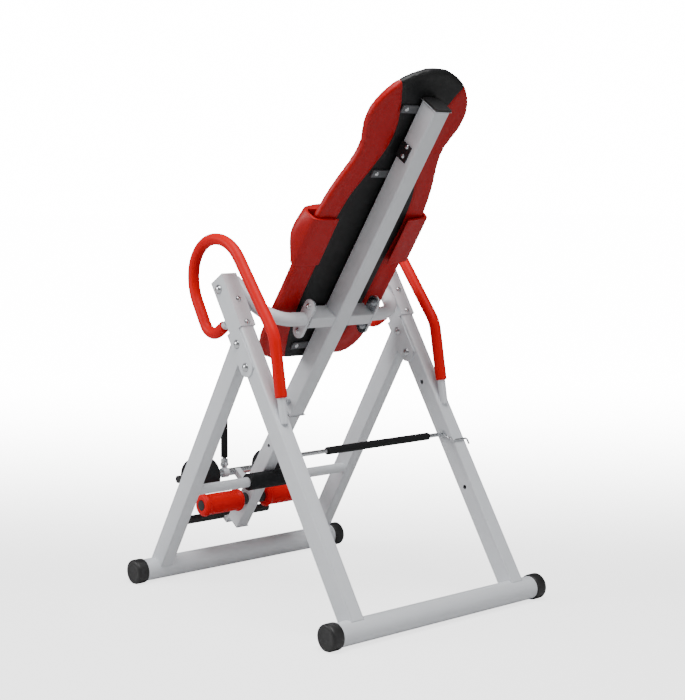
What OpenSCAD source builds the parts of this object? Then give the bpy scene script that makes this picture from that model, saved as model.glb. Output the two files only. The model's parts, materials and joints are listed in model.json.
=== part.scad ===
/* [Floor frame] */
// Overall width of each floor tube over its end caps
base_w = 660; // [500:1:800]
// Distance between the two floor tubes, centre to centre
base_span = 720; // [600:1:900]
// Outside diameter of the round floor tubes
base_d = 53; // [38:0.5:70]
// Outside diameter of the plastic end caps
cap_d = 60; // [42:0.5:80]
// Length of each end cap along the floor tube
cap_len = 30; // [15:1:60]
// Height of the floor tube axis, so that the caps stand on small flats
base_z = 29; // [20:0.5:39]

/* [Legs] */
// Distance between the middle planes of the left and right legs
leg_gauge = 496; // [400:1:600]
// Width of the rear leg tube across the object
leg_w = 36; // [25:0.5:50]
// Depth of the leg tubes, front face to back face
leg_d = 46; // [30:0.5:60]
// Width of the front leg tube, which folds between the bracket ears
fleg_w = 35; // [25:0.5:49]
// Wall of the leg and boom tubes
wall = 2; // [1:0.1:4]
// Lean of the rear legs from vertical, degrees
rear_lean = 32.28; // [20:0.01:45]
// Length of the rear legs along their axis
rear_len = 812; // [600:1:950]
// Offset of the front legs ahead of their floor tube
fleg_off = 4; // [0:0.5:10]
// Distance of the folding hinge up the rear leg
hinge_s = 694; // [500:1:800]
// Distance of the folding hinge ahead of the rear leg axis
hinge_off = 11; // [0:0.5:20]
// Distance of the lower ear bolt up the rear leg
ear_bolt_s = 635; // [500:1:800]
// Positions of the three angle holes up the rear leg, lowest and pitch
angle_hole_s = 269; // [200:1:400]
// Spacing of the angle holes
angle_hole_pitch = 140; // [80:1:200]
// Height of the front cross tube along the front leg
cross_s = 250; // [150:1:400]
// Offset of the front cross tube behind the front leg axis
cross_off = 9; // [0:0.5:12]
// Diameter of the front cross tube
cross_d = 25; // [16:0.5:32]
// Length of the foam stop sleeve on the front cross tube
stop_len = 158; // [100:1:300]

/* [Hinge brackets] */
// Thickness of the bracket plate
plate = 3; // [2:0.5:5]
// Upper end of the bracket up the rear leg
bracket_top = 857; // [800:1:900]
// Lower end of the bracket web up the rear leg
bracket_low = 722; // [650:1:780]
// Half width of the rounded ears
ear_r = 23; // [16:0.5:28]
// Offset of the ears ahead of the rear leg axis
ear_off = 9; // [0:0.5:15]

/* [Pivot] */
// Position of the tilt axis ahead of the floor frame middle
pivot_y = -86.4; // [-200:0.1:100]
// Height of the tilt axis
pivot_z = 730; // [600:0.5:850]
// Recline of the back board from vertical at rest, degrees
recline = 34.58; // [20:0.01:45]
// Diameter of the pivot bolts
pivot_d = 12; // [8:0.5:20]

/* [Boom] */
// Width of the outer boom tube
boom_w = 45; // [35:0.5:60]
// Depth of the outer boom tube
boom_d = 50; // [35:0.5:70]
// Distance of the boom middle behind the tilt axis
boom_n = 119; // [90:0.5:150]
// Upper end of the outer boom above the tilt axis
boom_top = 577; // [450:1:700]
// Lower end of the outer boom below the tilt axis
boom_low = 290; // [200:1:400]
// Width of the inner boom tube
inner_w = 36; // [25:0.5:42]
// Depth of the inner boom tube
inner_d = 42; // [30:0.5:46]
// Lower end of the inner boom below the tilt axis
inner_low = 674; // [600:1:750]
// Upper end of the inner boom below the tilt axis
inner_top = 8; // [0:1:100]
// Distance of the height pin below the tilt axis
pin_s = 265; // [240:1:280]
// Spacing of the height holes
hole_pitch = 29; // [20:0.5:40]

/* [Yoke] */
// Distance of the flange joints from the middle plane
flange_x = 95; // [70:1:120]
// Distance of the arm tubes from the middle plane
arm_x = 208; // [180:1:215]
// Diameter of the arm tubes
arm_d = 32; // [25:0.5:38]
// Bend radius of the arm tubes
arm_bend = 75; // [50:1:90]

/* [Backrest] */
// Half width of the back pad
pad_hw = 165; // [130:1:200]
// Upper end of the pad above the tilt axis
pad_top = 647; // [500:1:750]
// Lower end of the pad below the tilt axis
pad_low = 151; // [100:1:250]
// Radius of the rounded head end
head_r = 143; // [110:1:160]
// Thickness of the pad on the middle line
pad_t = 48; // [30:1:70]
// Thickness of the pad at its widest edge
pad_edge = 18; // [10:1:40]
// Lower edge of the lumbar cushion above the tilt axis
lumbar_low = 134; // [50:1:200]
// Height of the lumbar cushion
lumbar_h = 128; // [80:1:200]

/* [Ankle holder] */
// Distance of the heel axle below the tilt axis
heel_s = 586; // [500:1:650]
// Distance of the heel axle behind the tilt axis
heel_n = 124; // [110:1:130]
// Distance of the ankle bar below the tilt axis
ankle_s = 571; // [500:1:650]
// Distance of the ankle bar behind the tilt axis
ankle_n = 40; // [20:1:80]
// Radius of the front ankle rollers
ankle_r = 45; // [30:0.5:50]
// Half length of the ankle bar
ankle_half = 178; // [120:1:200]
// Distance of the foot bar below the tilt axis
foot_s = 693; // [640:1:750]
// Distance of the foot bar behind the tilt axis
foot_n = 72; // [50:1:90]
// Half length of the foot bar
foot_half = 139; // [80:1:180]
// Length of the lever from its pin to its tip
lever_len = 236; // [120:1:276]

/* [Handles] */
// Diameter of the handle tube
handle_d = 19; // [16:0.5:25]
// Outside diameter of the handle foam
grip_d = 27; // [22:0.5:36]

/* [Hidden] */
$fn = 64;
e = 0.01;
// middle of the whole object front to back
rear_y = base_span / 2 + cap_d / 2;
front_y = pivot_y - sin(recline) * foot_s + cos(recline) * foot_n - 10.5;
y_shift = -(rear_y + front_y) / 2;
leg_x = leg_gauge / 2;
// folding hinge in side view
hinge_y = base_span / 2 - hinge_s * sin(rear_lean) - hinge_off * cos(rear_lean);
hinge_z = base_z + hinge_s * cos(rear_lean) - hinge_off * sin(rear_lean);
fleg_foot_y = -base_span / 2 - fleg_off;
fleg_lean = atan2(hinge_y - fleg_foot_y, hinge_z - base_z);
fleg_len = norm([hinge_y - fleg_foot_y, hinge_z - base_z]);
// front cross tube in side view, then in the table frame
cross_y = fleg_foot_y + cross_s * sin(fleg_lean) + cross_off * cos(fleg_lean);
cross_z = base_z + cross_s * cos(fleg_lean) - cross_off * sin(fleg_lean);
cross_n = (cross_y - pivot_y) * cos(recline) - (cross_z - pivot_z) * sin(recline);
inner_back = boom_n + inner_d / 2;
stop_r = cross_n - inner_back - 0.1;
mid_hole_s = angle_hole_s + angle_hole_pitch;
angle_off = -3;
rod_d = 10;
web_bolt_s = [731, 790];
open_angle = rear_lean + fleg_lean;
stop_pin = leg_d / 2 + 6 + 0.1;
pad_back = boom_n - boom_d / 2 - 4;
crown_r = (pad_hw * pad_hw + pow(pad_t - pad_edge, 2)) / (2 * (pad_t - pad_edge));
c_frame = [0.8, 0.82, 0.83];
c_black = [0.1, 0.1, 0.11];
c_red = [0.78, 0.1, 0.1];
c_steel = [0.72, 0.73, 0.75];

module shifted() { translate([0, y_shift, 0]) children(); }
// rear leg frame: z runs up the leg, y points out of its back face
module on_rear(sx) {
  shifted() translate([sx * leg_x, base_span / 2, base_z]) rotate([rear_lean, 0, 0]) children();
}
// front leg frame: z runs up the leg to the folding hinge
module on_front(sx) {
  shifted() translate([sx * leg_x, fleg_foot_y, base_z]) rotate([-fleg_lean, 0, 0]) children();
}
// table frame: z runs up the boom, y points out of its back
module on_table() {
  shifted() translate([0, pivot_y, pivot_z]) rotate([-recline, 0, 0]) children();
}
module xcyl(d, x0, x1) {
  translate([x0, 0, 0]) rotate([0, 90, 0]) cylinder(d = d, h = x1 - x0);
}
module ycyl(d, y0, y1) {
  translate([0, y0, 0]) rotate([-90, 0, 0]) cylinder(d = d, h = y1 - y0);
}
module rect_tube(w, d, t, z0, z1) {
  difference() {
    translate([-w / 2, -d / 2, z0]) cube([w, d, z1 - z0]);
    translate([-w / 2 + t, -d / 2 + t, z0 - 1]) cube([w - 2 * t, d - 2 * t, z1 - z0 + 2]);
  }
}
// domed bolt head seen from outside, standing on x = 0 and pointing along +x
module dome_x(d, h) {
  r = (d * d / 4 + h * h) / (2 * h);
  rotate([0, 90, 0]) rotate_extrude() intersection() {
    translate([0, h - r]) circle(r = r, $fn = 96);
    square([d / 2, h]);
  }
}
module hex_x(af, x0, x1) {
  translate([x0, 0, 0]) rotate([0, 90, 0]) cylinder(d = af / cos(30), h = x1 - x0, $fn = 6);
}

// plane path of straight runs and tangent bends, in the local YZ plane
function unit2(v) = v / norm(v);
function turn(p, i) = let (a = unit2(p[i] - p[i - 1]), b = unit2(p[i + 1] - p[i])) a[0] * b[1] - a[1] * b[0];
function bend(p, i) = let (a = unit2(p[i] - p[i - 1]), b = unit2(p[i + 1] - p[i]))
  atan2(a[0] * b[1] - a[1] * b[0], a * b);
function tangent(p, f, i) = (i == 0 || i == len(p) - 1) ? 0 : f[i] * tan(abs(bend(p, i)) / 2);
// the runs are a hair thicker than the bends and reach a little way over them
run_step = 0.3;
function over(f, i) = 0.7 * sqrt(2 * f[i] * run_step);
module run(p, f, i, r) {
  d = unit2(p[i + 1] - p[i]);
  a = p[i] + d * (tangent(p, f, i) - over(f, i));
  l = norm(p[i + 1] - p[i]) - tangent(p, f, i) - tangent(p, f, i + 1) + over(f, i) + over(f, i + 1);
  translate([0, a[0], a[1]]) rotate([atan2(d[1], d[0]) - 90, 0, 0]) cylinder(r = r + run_step, h = l);
}
module elbow(p, f, i, r) {
  a = unit2(p[i] - p[i - 1]);
  s = sign(bend(p, i));
  q = p[i] - a * tangent(p, f, i);
  c = q + s * f[i] * [-a[1], a[0]];
  start = atan2(q[1] - c[1], q[0] - c[0]);
  translate([0, c[0], c[1]]) rotate([90, 0, 90]) rotate([0, 0, s > 0 ? start : start + bend(p, i)])
    rotate_extrude(angle = abs(bend(p, i))) translate([f[i], 0]) circle(r = r);
}
module path_solid(p, f, r) {
  union() {
    for (i = [0 : len(p) - 2]) run(p, f, i, r);
    for (i = [1 : len(p) - 2]) elbow(p, f, i, r);
  }
}
// tube along a path, hollow where an inner radius is given
module path_tube(p, f, r, ri = 0) {
  difference() {
    path_solid(p, f, r);
    if (ri > 0) path_solid(p, f, ri);
  }
}

// the same tube drawn in the XY plane
module arm_path(p, f, r, ri = 0) { rotate([-90, 0, 0]) rotate([0, 0, -90]) path_tube(p, f, r, ri); }

// ---------- rear frame ----------
module floor_tube(y) {
  inner_half = base_w / 2 - 4;
  shifted() translate([0, y, base_z]) difference() {
    xcyl(base_d, -inner_half, inner_half);
    xcyl(base_d - 2 * wall, -inner_half - 1, inner_half + 1);
  }
}
module end_caps(y) {
  for (sx = [-1, 1]) shifted() difference() {
    translate([0, y, base_z]) {
      x0 = sx > 0 ? base_w / 2 - cap_len : -base_w / 2;
      xcyl(cap_d, x0, x0 + cap_len);
    }
    x1 = sx > 0 ? base_w / 2 - cap_len - 1 : -base_w / 2 + 4;
    translate([0, y, base_z]) xcyl(base_d, x1, x1 + cap_len - 3);
    translate([-base_w, y - cap_d, -cap_d]) cube([2 * base_w, 2 * cap_d, cap_d]);
  }
}
module rear_floor_tube() { color(c_frame) floor_tube(base_span / 2); }
module rear_end_caps() { color(c_black) end_caps(base_span / 2); }
module rear_leg(sx) {
  color(c_frame) difference() {
    on_rear(sx) rect_tube(leg_w, leg_d, wall, 8, rear_len);
    shifted() translate([0, base_span / 2, base_z]) xcyl(base_d, -base_w, base_w);
    // clearance notch for the end of the front leg
    on_rear(sx) translate([-leg_w, -leg_d, 622]) cube([2 * leg_w, leg_d + 14, 110]);
    // holes for the angle rod in the inner wall
    on_rear(sx) for (k = [0 : 2]) translate([0, angle_off, angle_hole_s + k * angle_hole_pitch])
      xcyl(rod_d + 0.6, sx > 0 ? -leg_w : leg_w / 2 - wall - 1, sx > 0 ? -leg_w / 2 + wall + 1 : leg_w);
    on_rear(sx) for (z = web_bolt_s) translate([0, 0, z]) ycyl(8.1, 15, leg_d);
  }
}
module rear_leg_left() { rear_leg(1); }
module rear_leg_right() { rear_leg(-1); }

module ear(x0) {
  difference() {
    union() {
      translate([0, -ear_off, ear_bolt_s]) xcyl(2 * ear_r, x0, x0 + plate);
      translate([x0, -ear_off - ear_r, ear_bolt_s]) cube([plate, 2 * ear_r, bracket_low - ear_bolt_s + 6]);
    }
    translate([0, -hinge_off, hinge_s]) xcyl(10.1, x0 - 1, x0 + plate + 1);
    translate([0, -hinge_off, ear_bolt_s]) xcyl(10.1, x0 - 1, x0 + plate + 1);
  }
}
module pivot_bracket(sx) {
  y0 = -leg_d / 2 + 1;
  pv = pivot_on_leg();
  color(c_frame) on_rear(sx) difference() {
    union() {
      for (x0 = [-leg_w / 2 - plate, leg_w / 2]) {
        ear(x0);
        translate([x0, y0, bracket_low]) cube([plate, leg_d - 1 + plate, bracket_top - bracket_low]);
      }
      translate([-leg_w / 2 - e, leg_d / 2, bracket_low]) cube([leg_w + 2 * e, plate, bracket_top - bracket_low]);
      // pin that stops the front leg from opening past its working angle
      translate([0, -hinge_off - stop_pin * cos(open_angle), hinge_s + stop_pin * sin(open_angle)])
        xcyl(12, -leg_w / 2 - 1, leg_w / 2 + 1);
    }
    translate([0, pv[0], pv[1]]) xcyl(pivot_d + 0.1, -leg_w, leg_w);
    for (z = web_bolt_s) translate([0, 0, z]) ycyl(8.1, 15, leg_d);
  }
}
// tilt axis in the rear leg frame: [y, z]
function pivot_on_leg() = let (dy = pivot_y - base_span / 2, dz = pivot_z - base_z)
  [dy * cos(rear_lean) + dz * sin(rear_lean), -dy * sin(rear_lean) + dz * cos(rear_lean)];
module pivot_bracket_left() { pivot_bracket(1); }
module pivot_bracket_right() { pivot_bracket(-1); }
module bracket_bolts() {
  color(c_steel) ear_bolt(hinge_s);
  color(c_steel) ear_bolt(ear_bolt_s);
  color(c_steel) for (sx = [-1, 1], z = web_bolt_s) on_rear(sx) translate([0, leg_d / 2 + plate, z]) {
    rotate([0, 0, 90]) dome_x(15, 5);
    ycyl(8, -plate - wall - 8, 0.5);
    translate([0, -plate - wall - 6, 0]) rotate([0, 0, 90]) hex_x(13, -0.1, 5.9);
  }
}
module ear_bolt(z) {
  x = leg_w / 2 + plate;
  for (sx = [-1, 1]) on_rear(sx) translate([0, -hinge_off, z]) {
    xcyl(10, -x, x);
    translate([x, 0, 0]) dome_x(20, 6);
    rotate([0, 0, 180]) translate([x, 0, 0]) dome_x(20, 6);
  }
}
module pivot_bolts() {
  color(c_steel) for (sx = [0, 1]) mirror([sx, 0, 0]) shifted() translate([0, pivot_y, pivot_z]) {
    xcyl(pivot_d, arm_x - arm_d / 2 - 8, leg_x + leg_w / 2 + plate);
    translate([leg_x + leg_w / 2 + plate, 0, 0]) dome_x(21, 7);
    hex_x(19, arm_x - arm_d / 2 - 9, arm_x - arm_d / 2 - 1);
    xcyl(20, leg_x - leg_w / 2, leg_x + leg_w / 2);
  }
}

// handle loop in side view: [y, z] from the front face of the rear leg round to its back face
handle_pts = [[-55, 668], [-147.5, 609.5], [-213, 721], [-213, 843], [-69.3, 843], [88.9, 638.6], [124, 444]];
handle_fil = [0, 38, 110, 88, 106, 80, 0];
grip_pts = [[-92, 644.6], [-147.5, 609.5], [-213, 721], [-213, 843], [-69.3, 843], [88.9, 638.6], [113.9, 500]];
module handle_tube(sx) {
  color(c_frame) difference() {
    shifted() translate([sx * leg_x, 0, 0]) path_tube(handle_pts, handle_fil, handle_d / 2, handle_d / 2 - 1.5);
    on_rear(sx) translate([-50, -leg_d / 2, 0]) cube([100, leg_d, 900]);
  }
}
module handle_grip(sx) {
  color(c_red) shifted() translate([sx * leg_x, 0, 0]) path_tube(grip_pts, handle_fil, grip_d / 2, handle_d / 2);
}
module handle_tube_left() { handle_tube(1); }
module handle_tube_right() { handle_tube(-1); }
module handle_grip_left() { handle_grip(1); }
module handle_grip_right() { handle_grip(-1); }

// ---------- angle rod ----------
rod_reach = leg_x + leg_w / 2 - wall - 1;
module on_rod() { on_rear(0) translate([0, angle_off, mid_hole_s]) children(); }
module angle_rod() { color(c_steel) on_rod() xcyl(rod_d, -rod_reach, rod_reach); }
module angle_rod_foam() {
  color(c_black) on_rod() difference() {
    xcyl(18, -180, 138);
    xcyl(rod_d, -200, 200);
  }
}
// wire clip that keeps the rod in its hole: an eye on the rod, then round the back of the leg
module rod_keeper() {
  x0 = -(leg_x - leg_w / 2 - 4);
  x1 = -(leg_x + leg_w / 2 + 4);
  xm = (x0 + x1) / 2;
  wire = 4;
  reach = 41.5;
  drop = reach * sin(45);
  color(c_steel) on_rod() {
    rotate([-45, 0, 0]) {
      difference() {
        xcyl(rod_d + 2 * wire, x0 - 2.5, x0 + 2.5);
        xcyl(rod_d + 0.1, x0 - 10, x0 + 10);
      }
      arm_path([[x0, rod_d / 2 + 1.5], [x0, reach], [xm, reach]], [0, 5, 0], wire / 2);
    }
    translate([0, drop, -drop]) rotate([0, 0, -90]) path_tube([[xm + 2, 0], [x1, 0], [x1, -15]], [0, 5, 0], wire / 2 + 0.1);
  }
}

// ---------- front frame ----------
module front_floor_tube() { color(c_frame) floor_tube(-base_span / 2); }
module front_end_caps() { color(c_black) end_caps(-base_span / 2); }
module front_leg(sx) {
  color(c_frame) difference() {
    on_front(sx) difference() {
      union() {
        translate([-fleg_w / 2, -leg_d / 2, 8]) cube([fleg_w, leg_d, fleg_len - 8]);
        translate([0, 0, fleg_len]) xcyl(leg_d, -fleg_w / 2, fleg_w / 2);
      }
      translate([-fleg_w / 2 + wall, -leg_d / 2 + wall, 0]) cube([fleg_w - 2 * wall, leg_d - 2 * wall, fleg_len]);
      translate([0, 0, fleg_len]) xcyl(leg_d - 2 * wall, -fleg_w / 2 + wall, fleg_w / 2 - wall);
      translate([0, 0, fleg_len]) xcyl(10.1, -leg_w, leg_w);
    }
    shifted() translate([0, -base_span / 2, base_z]) xcyl(base_d, -base_w, base_w);
  }
}
module front_leg_left() { front_leg(1); }
module front_leg_right() { front_leg(-1); }
module on_cross() { shifted() translate([0, cross_y, cross_z]) children(); }
module front_cross_tube() {
  h = leg_x - fleg_w / 2;
  color(c_frame) on_cross() difference() {
    xcyl(cross_d, -h, h);
    xcyl(cross_d - 3, -h - 1, h + 1);
  }
}
module stop_sleeve() {
  color(c_black) on_cross() difference() {
    xcyl(2 * stop_r, -stop_len / 2, stop_len / 2);
    xcyl(cross_d, -stop_len, stop_len);
  }
}

// ---------- table ----------
module main_boom() {
  color(c_frame) on_table() translate([0, boom_n, 0]) difference() {
    rect_tube(boom_w, boom_d, wall, -boom_low, boom_top);
    translate([0, 0, -pin_s]) xcyl(10.4, 10, boom_w);
    for (z = [444.7, 467.7]) translate([0, 115 - boom_n, z]) xcyl(6.4, 10, boom_w);
  }
}
module boom_end_cap() {
  color(c_black) on_table() translate([0, boom_n, boom_top]) {
    translate([-boom_w / 2 - 1, -boom_d / 2 - 1, 0]) cube([boom_w + 2, boom_d + 2, 5]);
    translate([-boom_w / 2 + wall, -boom_d / 2 + wall, -18]) cube([boom_w - 2 * wall, boom_d - 2 * wall, 18 + e]);
  }
}
module boom_bush() {
  ow = boom_w - 2 * wall;
  od = boom_d - 2 * wall;
  color(c_black) on_table() translate([0, boom_n, 0]) difference() {
    union() {
      translate([-ow / 2, -od / 2, -boom_low - e]) cube([ow, od, 16]);
      translate([-boom_w / 2, -boom_d / 2, -boom_low - 4]) cube([boom_w, boom_d, 4]);
    }
    translate([-inner_w / 2 - 0.3, -inner_d / 2 - 0.3, -boom_low - 10]) cube([inner_w + 0.6, inner_d + 0.6, 40]);
  }
}
module height_pin() {
  color(c_black) on_table() translate([0, boom_n, -pin_s]) {
    xcyl(7.6, inner_w / 2 + 0.6, boom_w / 2 + 30);
    xcyl(24, boom_w / 2 + 26, boom_w / 2 + 42);
  }
}
module pin_housing() {
  color(c_steel) on_table() translate([0, boom_n, -pin_s]) difference() {
    union() {
      xcyl(16, boom_w / 2, boom_w / 2 + 12);
      hex_x(17, boom_w / 2, boom_w / 2 + 6);
    }
    xcyl(7.7, 0, boom_w);
  }
}
stub_w = 29;
module cross_stubs() {
  color(c_frame) on_table() for (m = [0, 1]) mirror([m, 0, 0]) {
    translate([boom_w / 2, boom_n + boom_d / 2 - 2 - 48, -stub_w / 2]) difference() {
      cube([flange_x - boom_w / 2, 48, stub_w]);
      translate([-1, wall, wall]) cube([flange_x, 48 - 2 * wall, stub_w - 2 * wall]);
    }
    flange(flange_x);
  }
}
flange_n = 122;
bolt_half = 35.5;
module flange(x0) {
  translate([x0, flange_n, 0]) difference() {
    union() {
      for (s = [-1, 1]) translate([0, 0, s * bolt_half]) xcyl(34, 0, 4);
      translate([0, -17, -bolt_half]) cube([4, 34, 2 * bolt_half]);
    }
    for (s = [-1, 1]) translate([0, 0, s * bolt_half]) xcyl(8.2, -1, 5);
  }
}
module flange_bolts() {
  color(c_steel) on_table() for (m = [0, 1], s = [-1, 1]) mirror([m, 0, 0])
    translate([flange_x, flange_n, s * bolt_half]) {
      xcyl(8, -9, 8.1);
      translate([8, 0, 0]) dome_x(16, 6);
      hex_x(13, -7, 0);
    }
}
// arm tube path in plan of the table frame: [distance out, distance behind the axis]
module pivot_arm(m) {
  x0 = flange_x + 4;
  pts = [[x0 + 3.5, flange_n], [arm_x, flange_n], [arm_x, -22]];
  color(c_frame) on_table() mirror([m, 0, 0]) {
    flange(x0);
    difference() {
      arm_path(pts, [0, arm_bend, 0], arm_d / 2, arm_d / 2 - 2);
      xcyl(pivot_d + 0.1, 150, 300);
    }
  }
}

module pivot_arm_left() { pivot_arm(0); }
module pivot_arm_right() { pivot_arm(1); }
module arm_caps() {
  color(c_black) on_table() for (m = [0, 1]) mirror([m, 0, 0]) translate([arm_x, 0, 0]) {
    ycyl(arm_d, -26, -22);
    ycyl(arm_d - 4, -22 - e, -10);
  }
}
strap_s = [549, 382, -108];
module pad_straps() {
  color(c_frame) on_table() for (s = strap_s) translate([-66, pad_back, s - 9]) difference() {
    cube([132, 4, 18]);
    for (x = [14, 118]) translate([x, 0, 9]) ycyl(6.2, -1, 5);
  }
}
module board_screws() {
  color(c_steel) on_table() for (z = [444.7, 467.7]) translate([boom_w / 2, 115, z]) {
    xcyl(6, -wall - 4, 3.1);
    translate([3, 0, 0]) dome_x(11, 4);
  }
  color(c_steel) on_table() for (s = strap_s, x = [-52, 52]) translate([x, pad_back, s]) {
    ycyl(6, -12, 4.1);
    translate([0, 4, 0]) rotate([0, 0, 90]) dome_x(11, 3);
  }
}
module side_bracket() {
  color(c_black) on_table() translate([boom_w / 2, 95, 434]) difference() {
    cube([3, 33, 39]);
    for (z = [10.7, 33.7]) translate([0, 20, z]) xcyl(6.2, -1, 4);
  }
}

// pad outline in the plane of the back: head circle, waisted neck, straight sides, round corners
module pad_outline(inset = 0) {
  neck_s = 440;
  neck_r = 80;
  neck_x = 205;
  corner = 75;
  shoulder = 150;
  head_s = pad_top - head_r;
  hw = pad_hw - inset;
  low = pad_low - inset;
  difference() {
    union() {
      translate([0, head_s]) circle(r = head_r - inset);
      translate([-head_r + 8 + inset, 300]) square([2 * (head_r - 8 - inset), head_s - 300]);
      translate([-hw, -pad_low + corner]) square([2 * hw, 350]);
      translate([-pad_hw + corner, -low]) square([2 * (pad_hw - corner), corner + 1]);
      for (s = [-1, 1]) {
        translate([s * (pad_hw - corner), -pad_low + corner]) circle(r = corner - inset);
        translate([s * (pad_hw - shoulder), 270]) circle(r = shoulder - inset);
      }
    }
    for (s = [-1, 1]) translate([s * neck_x, neck_s]) circle(r = neck_r + inset);
  }
}
module pad_solid() {
  intersection() {
    translate([0, pad_back, 0]) rotate([90, 0, 0]) linear_extrude(height = pad_t + 1) pad_outline();
    translate([0, pad_back - pad_t + crown_r, -pad_low - 10]) cylinder(r = crown_r, h = pad_top + pad_low + 20, $fn = 180);
  }
}
module board_solid() {
  translate([0, pad_back - 3, 0]) rotate([90, 0, 0]) linear_extrude(height = 11) pad_outline(14);
}
band_hw = 66;
module backrest_board() { color([0.72, 0.55, 0.36]) on_table() board_solid(); }
module backrest_centre() {
  color(c_black) on_table() difference() {
    intersection() {
      pad_solid();
      translate([-band_hw, 0, -300]) cube([2 * band_hw, 200, 1200]);
    }
    board_solid();
    for (s = strap_s, x = [-52, 52]) translate([x, pad_back, s]) ycyl(6, -13, 1);
  }
}
module backrest_side(m) {
  color(c_red) on_table() mirror([m, 0, 0]) difference() {
    intersection() {
      pad_solid();
      translate([band_hw, 0, -300]) cube([200, 200, 1200]);
    }
    board_solid();
  }
}
module backrest_side_left() { backrest_side(0); }
module backrest_side_right() { backrest_side(1); }

// lumbar cushion on the front of the pad, held by flaps folded round its edges
module lumbar_cushion() {
  color(c_red) on_table() difference() {
    translate([0, 0, lumbar_low]) intersection() {
      translate([-pad_hw - 12, pad_back - pad_t - 24, 0]) cube([2 * pad_hw + 24, pad_t, lumbar_h]);
      translate([0, pad_back - pad_t - 22 + 620, 0]) cylinder(r = 620, h = lumbar_h, $fn = 180);
    }
    translate([0, pad_back - pad_t + crown_r - 0.2, -300]) cylinder(r = crown_r, h = 1200, $fn = 180);
  }
}
module lumbar_flap(m) {
  x0 = pad_hw + 2;
  x1 = pad_hw + 12;
  color(c_red) on_table() mirror([m, 0, 0]) translate([0, 0, lumbar_low]) union() {
    translate([x0, pad_back - 24, 0]) cube([x1 - x0, 24 + 9, lumbar_h]);
    translate([100, pad_back + 2, 0]) cube([x0 - 100 + e, 7, lumbar_h]);
  }
}
module lumbar_flap_left() { lumbar_flap(0); }
module lumbar_flap_right() { lumbar_flap(1); }

// ---------- height slide ----------
slide_w = 16;
slide_s = 569;
module inner_boom() {
  color(c_frame) on_table() translate([0, boom_n, 0]) difference() {
    rect_tube(inner_w, inner_d, wall, -inner_low, -inner_top);
    for (k = [-5 : 3]) translate([0, 0, -pin_s + k * hole_pitch]) xcyl(9, 0, boom_w);
    translate([0, heel_n - boom_n, -heel_s]) xcyl(16, -boom_w, boom_w);
    translate([-slide_w / 2 - 0.3, -boom_d, -slide_s - slide_w / 2 - 0.3]) cube([slide_w + 0.6, boom_d, slide_w + 0.6]);
  }
}
module inner_end_plug() {
  color(c_black) on_table() translate([-inner_w / 2 + wall, boom_n - inner_d / 2 + wall, -inner_low]) cube([inner_w - 2 * wall, inner_d - 2 * wall, 12]);
}
module ankle_guide() {
  w = slide_w + 0.6;
  color(c_frame) on_table() translate([0, 64, -slide_s]) difference() {
    translate([-w / 2 - 2.5, 0, -w / 2 - 2.5]) cube([w + 5, boom_n - inner_d / 2 - 64, w + 5]);
    translate([-w / 2, -1, -w / 2]) cube([w, 60, w]);
  }
}
module heel_axle() {
  color(c_steel) on_table() translate([0, heel_n, -heel_s]) difference() {
    xcyl(16, -152, 152);
    xcyl(12, -153, 153);
  }
}
// plastic spacers between boom and rollers, and plugs in the ends of the axle
module heel_spacers() {
  color(c_black) on_table() for (m = [0, 1]) mirror([m, 0, 0]) translate([0, heel_n, -heel_s]) {
    difference() {
      xcyl(30, inner_w / 2, 36);
      xcyl(16, 0, 50);
    }
    xcyl(25, 152, 156);
    xcyl(12, 146, 153);
  }
}
// foam roller with a bead at each end
module heel_roller(m) {
  x0 = 36;
  x1 = 156;
  color(c_red) on_table() mirror([m, 0, 0]) translate([0, heel_n, -heel_s]) difference() {
    union() {
      xcyl(52, x0 + 8, x1 - 8);
      for (x = [x0 + 8, x1 - 8]) translate([x, 0, 0]) rotate([0, 90, 0]) rotate_extrude() translate([21, 0]) circle(r = 8);
      xcyl(42, x0, x1);
    }
    xcyl(16, 0, 200);
    xcyl(26, x1 - 4, 200);
  }
}
module heel_roller_left() { heel_roller(0); }
module heel_roller_right() { heel_roller(1); }
module foot_bar() {
  color(c_black) on_table() {
    translate([0, foot_n, -foot_s]) {
      xcyl(21, -foot_half + 6, foot_half - 6);
      for (sx = [-1, 1]) translate([sx * (foot_half - 10.5), 0, 0]) sphere(d = 21);
    }
  }
}
module foot_bracket() {
  color(c_frame) on_table() difference() {
    translate([-15, foot_n, -foot_s - 5]) union() {
      cube([30, boom_n - inner_d / 2 - foot_n - 3, 10]);
      translate([0, boom_n - inner_d / 2 - foot_n - 4, 0]) cube([30, 4, 60]);
    }
    translate([0, foot_n, -foot_s]) xcyl(21, -50, 50);
  }
}

// ---------- ankle slide ----------
module on_ankle() { on_table() translate([0, ankle_n, -ankle_s]) children(); }
module ankle_bar() {
  color(c_steel) on_ankle() difference() {
    xcyl(19, -ankle_half, ankle_half);
    xcyl(15.4, -ankle_half - 1, ankle_half + 1);
  }
}
module ankle_slide_bar() {
  color(c_frame) on_table() difference() {
    translate([-slide_w / 2, ankle_n, -slide_s - slide_w / 2]) cube([slide_w, 136 - ankle_n, slide_w]);
    translate([0, ankle_n, -ankle_s]) xcyl(19, -50, 50);
  }
}
module ankle_roller(m) {
  x0 = 76;
  x1 = 150;
  color(c_black) on_ankle() mirror([m, 0, 0]) difference() {
    union() {
      xcyl(2 * ankle_r, x0 + 10, x1 - 10);
      xcyl(2 * ankle_r - 20, x0, x1);
      for (x = [x0 + 10, x1 - 10]) translate([x, 0, 0]) rotate([0, 90, 0]) rotate_extrude() translate([ankle_r - 10, 0]) circle(r = 10);
    }
    xcyl(19, 0, 300);
  }
}
module ankle_roller_left() { ankle_roller(0); }
module ankle_roller_right() { ankle_roller(1); }
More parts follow.
